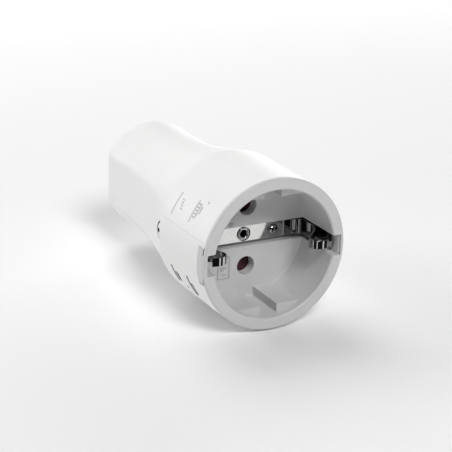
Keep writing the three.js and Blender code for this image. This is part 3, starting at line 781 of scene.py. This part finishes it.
def clip(side, body):
    """A bent springy strip that follows the clip's smoothed route."""
    route = [(side * x, y, width) for x, y, width in smooth_route(CLIP)]
    rings = []
    for i, (x, y, width) in enumerate(route):
        before, after = route[max(i - 1, 0)], route[min(i + 1, len(route) - 1)]
        along = Vector((after[0] - before[0], after[1] - before[1])).normalized()
        rings.append([place(x - along.y * t, y + along.x * t, z) for t, z in strip_section(width)])
    finish_piece(shade(rings_mesh(f"clip_{body}", rings), 50), "dark_nickel", body, "nickel",
                 f"earth_{body}")


def strip():
    """The strip across the channel, with a bore for the screw and a seat for the rivet."""
    outer = BACK_LEG_X + CLIP_THICKNESS
    base = block("earth_strip", (-outer, STRIP_Y, -STRIP_HALF),
                 (outer, STRIP_Y + STRIP_THICKNESS, STRIP_HALF))
    boolean(base, cylinder("bore", STRIP_RIVET_BORE, BORE_START, BORE_END, 64))
    boolean(base, cylinder("seat", STRIP_RIVET_SEAT, BORE_START, STRIP_Y + SEAT_DEPTH, 64))
    boolean(base, cylinder("bore", STRIP_SCREW_BORE, BORE_START, BORE_END, 48, (SCREW_X, 0)))
    round_edges(base, 0.08)
    finish_piece(shade(base), "nickel", "housing", "nickel", "earth_bridge")


def doubled_end(side):
    """The thin plate welded on the strip beside a clip's foot, tipped a little."""
    back = STRIP_Y + 0.1
    rings = []
    for x, proud in ((FOOT_START, FOOT_STARTS_PROUD), (FOOT_END, FOOT_ENDS_PROUD)):
        front = STRIP_Y - proud
        rings.append([place(side * x, y, z) for y, z in (
            (front, -FOOT_HALF), (front, FOOT_HALF), (back, FOOT_HALF), (back, -FOOT_HALF))])
    plate = rings_mesh("doubled_end", rings)
    round_edges(plate, 0.08)
    finish_piece(shade(plate), "dark_nickel", "housing", "nickel")


def back_leg(side):
    """The strip's upturned end: a plate with rounded front corners."""
    widths = [(BACK_LEG_TOP + BACK_LEG_CORNER * (1 - math.sin(angle)),
               BACK_LEG_HALF - BACK_LEG_CORNER * (1 - math.cos(angle)))
              for angle in evenly(QUARTER_TURN, 0, 7)]
    widths += [(y, BACK_LEG_HALF) for y in (8, 14, STRIP_Y + 0.3)]
    near, far = BACK_LEG_X, BACK_LEG_X + CLIP_THICKNESS
    rings = [[place(side * x, y, z) for x, z in (
        (near, -half), (near, half), (far, half), (far, -half))] for y, half in widths]
    leg = rings_mesh("back_leg", rings)
    round_edges(leg, 0.06)
    finish_piece(shade(leg), "leg_nickel", "housing", "nickel")


def rivet():
    """A tubular rivet with its end rolled over, seen from the rolled end."""
    head = STRIP_Y - 0.03
    bore, shank, back = 1.0, 1.4, 26.4
    roll = [(1.06, 0.2), (1.2, -0.04), (1.42, -0.15), (1.65, -0.18), (1.88, -0.13),
            (2.02, -0.02), (2.06, 0.12), (2.06, 0.25)]
    profile = [(ON_AXIS, back), (bore, back), (bore, head + 0.6)]
    profile += [(radius, head + rise) for radius, rise in roll]
    profile += [(shank, head + 0.25), (shank, back + 1), (ON_AXIS, back + 1)]
    eyelet = turned("centre_eyelet", profile, 72, loop=True)
    finish_piece(shade(eyelet, 40), "nickel", "housing", "nickel", "centre_rivet")


def dome_screw():
    """The small domed screw beside the rivet."""
    base = STRIP_Y - 0.02
    profile = [(ON_AXIS, base - SCREW_DOME)]
    profile += [(SCREW_HEAD * math.sin(angle), base - SCREW_DOME * math.cos(angle) ** 1.3)
                for angle in evenly(0, QUARTER_TURN, 12)[1:-1]]
    profile += [(SCREW_HEAD, base), (SCREW_SHANK, base), (SCREW_SHANK, SCREW_END),
                (ON_AXIS, SCREW_END)]
    screw = turned("dome_screw", profile, 56, (SCREW_X, 0), loop=True)
    finish_piece(shade(screw), "nickel", "housing", "nickel", "earth_screw")


clip(-1, "clip_left")
clip(1, "clip_right")
strip()
for end in (-1, 1):
    doubled_end(end)
    back_leg(end)
rivet()
dome_screw()

# ---- Generic marks ----
LINE, THIN, BOLD, WIDE = 0.45, 0.4, 0.55, 0.8
MARK_LIFT, MARK_ROOT = 0.05, -0.2


def surface_bars(name, bars):
    """Thin raised bars on the sleeve. Each runs from (y, degrees) to (y, degrees), with a width."""
    bm = bmesh.new()
    section = ((-1, MARK_ROOT), (-1, MARK_LIFT), (1, MARK_LIFT), (1, MARK_ROOT))
    for *corners, width in bars:
        start, end = [Vector((y, math.radians(turn) * body_radius(y)))
                      for y, turn in (corners[:2], corners[2:])]
        along = (end - start).normalized()
        across = Vector((-along.y, along.x)) * width / 2
        rings = []
        for share in evenly(0, 1, 10):
            ring = []
            for side, rise in section:
                y, arc_length = start.lerp(end, share) + side * across
                radius = body_radius(y)
                angle = arc_length / radius
                reach = radius + rise
                ring.append(place(reach * math.cos(angle), y, reach * math.sin(angle)))
            rings.append(ring)
        add_skin(bm, rings)
    return new_object(name, bm)


def sleeve_marks():
    """Lines and small blocks of no meaning, above and below the middle of the left side."""
    upper = [(23.8, 160, 23.2, 142, LINE), (13.5, 158, 13.2, 140, LINE)]
    for i in range(4):
        turn = 146 + 2.2 * i
        upper.append((21.3 - 0.3 * i, turn, 20.2 - 0.3 * i, turn + 0.6, THIN))
    for i in range(5):
        turn = 142.5 + 2.6 * i
        upper.append((12.9, turn, 11.3 - 0.3 * (i % 2), turn, BOLD))
    upper += [(11.5, 141.5, 11.2, 152, LINE), (10.4, 143, 10.2, 149, BOLD), (9.3, 138, 8.6, 139, BOLD)]
    lower = [(23, 199, 22, 213, WIDE), (13, 199, 12, 217, WIDE)]
    for i in range(3):
        lower.append((21.4 - 0.2 * i, 204 + 2.6 * i, 19.8 - 0.2 * i, 205 + 2.6 * i, WIDE))
        lower.append((11.8 - 0.2 * i, 205 + 3.4 * i, 10.3 - 0.2 * i, 206 + 3.4 * i, WIDE))
    lower.append((17.4, 213, 16.6, 215, BOLD))
    # The lower marks' black is painted shade; the upper marks keep their grey.
    for name, bars, look in (("upper_marks", upper, "mark_grey"), ("lower_marks", lower, "mark_dark")):
        finish_piece(shade(surface_bars(name, bars)), look, "housing", "label_film")


def floor_marks():
    """A frame with three bars in it, and a pair of short bars, moulded on the socket's floor."""
    low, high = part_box("floor_label")
    x0, x1 = low.x / MM, high.x / MM
    z0, z1 = (low.z - AXIS_Z) / MM, (high.z - AXIS_Z) / MM
    sunk = 0.3
    front, back = (low.y - RIM_Y) / MM + sunk, (high.y - RIM_Y) / MM + sunk
    line = 0.16
    bars = [(x0, z0, x1, z0 + line), (x0, z1 - line, x1, z1), (x0, z0 + line, x0 + line, z1 - line),
            (x1 - line, z0 + line, x1, z1 - line)]
    bars += [(x0 + 0.8, z0 + 3.4, x1 - 1.0, z0 + 3.65), (x0 + 0.8, z0 + 2.6, x0 + 1.9, z0 + 2.85),
             (x0 + 1.3, z0 + 1.3, x1 - 1.2, z0 + 1.5)]
    bars += [(-6.2, 3.9, -4.9, 4.15), (-5.8, 4.5, -4.6, 4.7)]
    bm = bmesh.new()
    for left, bottom, right, top in bars:
        add_box(bm, (left, front, bottom), (right, back, top))
    finish_piece(new_object("floor_marks", bm), "mark_grey", "housing", "label_film", "floor_label")


sleeve_marks()
floor_marks()

# ---- Stage and light ----
FLOOR_SIZE = 6
SOFTBOX_REACH = 1.3
# Square softboxes round the object: degrees from +Y towards +X, degrees up, side and watts
SOFTBOXES = {
    "back_high": (0, 48, 0.9, 6.8),
    "back_left": (315, 14, 0.7, 9.0),
    "back_right": (45, 14, 0.7, 6.9),
    "back_low": (0, 14, 0.7, 1.6),
    "front_high": (184, 45, 0.45, 9.7),
    "front_top": (180, 70, 0.8, 0.5),
}
# White cards below the horizon, which only mirrors see: degrees from +Y towards +X, and width
CARDS = [(268, 30), (207, 14), (150, 16), (112, 30), (60, 10), (20, 24), (332, 24)]
CARD_BRIGHTNESS = 1.6
CARD_TOP = -0.02
STUDIO_DARK = 0.02


def make_stage():
    """A pale matt floor."""
    bm = bmesh.new()
    bmesh.ops.create_grid(bm, x_segments=1, y_segments=1, size=FLOOR_SIZE)
    floor = new_object("floor", bm)
    nodes = MaterialNodes("floor")
    nodes.feed("Base Color", nodes.ramp(nodes.noise(3, 2), (0.3, 0.93), (0.7, 0.95)))
    set_inputs(nodes.shader, {"Roughness": 0.9, "Specular IOR Level": 0.1})
    floor.data.materials.append(nodes.material)
    floor.visible_glossy = False


def softbox(name, azimuth, height, size, power):
    data = bpy.data.lights.new(name, "AREA")
    data.shape = "SQUARE"
    data.size = size
    data.energy = power
    away = direction(azimuth, height)
    lamp = bpy.data.objects.new(name, data)
    lamp.location = Vector((0, 0, AXIS_Z)) + SOFTBOX_REACH * away
    lamp.rotation_euler = away.to_track_quat("Z", "Y").to_euler()
    lamp.visible_camera = False
    bpy.context.scene.collection.objects.link(lamp)


def math_node(tree, operation, first, second):
    """A Math node's value, where first is a socket and second is a socket or a number."""
    node = tree.nodes.new("ShaderNodeMath")
    node.operation = operation
    tree.links.new(first, node.inputs[0])
    if isinstance(second, float):
        node.inputs[1].default_value = second
    else:
        tree.links.new(second, node.inputs[1])
    return node.outputs["Value"]


def card_stops():
    """Ramp stops round the horizon, white over each card and soft at its sides."""
    stops = []
    for azimuth, width in CARDS:
        for side, value in ((-1, 0), (-0.7, 1), (0.7, 1), (1, 0)):
            turn = (90 - azimuth - side * width / 2 + 180) % 360
            stops.append((turn / 360, value))
    return sorted(stops)


def make_world():
    """A dark studio with the cards round it."""
    world = bpy.data.worlds.new("studio")
    world.use_nodes = True
    tree = world.node_tree
    coords = tree.nodes.new("ShaderNodeTexCoord").outputs["Generated"]
    around = tree.nodes.new("ShaderNodeTexGradient")
    around.gradient_type = "RADIAL"
    tree.links.new(coords, around.inputs["Vector"])
    ramp = tree.nodes.new("ShaderNodeValToRGB")
    set_stops(ramp, card_stops())
    tree.links.new(around.outputs["Fac"], ramp.inputs["Fac"])
    height = tree.nodes.new("ShaderNodeSeparateXYZ")
    tree.links.new(coords, height.inputs["Vector"])
    below = math_node(tree, "LESS_THAN", height.outputs["Z"], CARD_TOP)
    bright = math_node(tree, "MULTIPLY", ramp.outputs["Color"], CARD_BRIGHTNESS)
    cards = math_node(tree, "MULTIPLY", bright, below)
    tone = math_node(tree, "ADD", cards, STUDIO_DARK)
    tree.links.new(tone, tree.nodes["Background"].inputs["Color"])
    bpy.context.scene.world = world


def make_light():
    make_world()
    for name, (azimuth, height, size, power) in SOFTBOXES.items():
        softbox(name, azimuth, height, size, power)
    bpy.context.scene.view_settings.view_transform = "Standard"


make_stage()
make_light()
